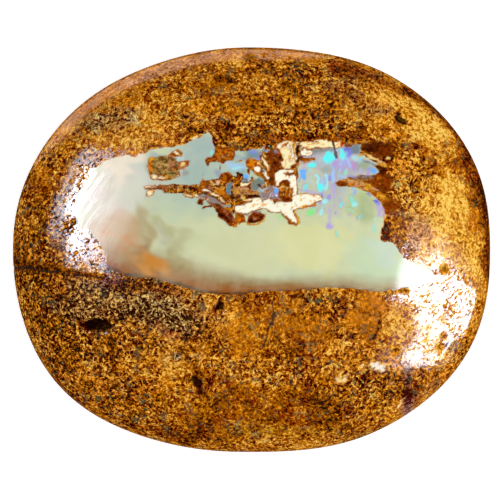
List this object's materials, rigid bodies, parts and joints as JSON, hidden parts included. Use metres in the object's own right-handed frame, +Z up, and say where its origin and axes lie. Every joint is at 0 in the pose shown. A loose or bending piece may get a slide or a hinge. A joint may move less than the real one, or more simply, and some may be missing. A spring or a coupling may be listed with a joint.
{
  "type": "boulder opal cabochon",
  "caption": "Oval polished cabochon of golden brown ironstone with a pale green opal seam in its domed face and a flat back.",
  "frame": {"origin": "the middle of the flat back, which the stone rests on", "axes": "+X along the long axis of the oval, +Y across it towards the opal's broken upper edge, +Z up out of the back through the dome"},
  "size_m": [0.027, 0.023, 0.006],
  "materials": {
    "polished_boulder_opal": "high polish; golden brown speckled ironstone around a milky pale green opal seam with patches of blue, cyan and violet play of colour"
  },
  "bodies": {
    "root": {"boulder_opal": "polished_boulder_opal"}
  },
  "joints": []
}
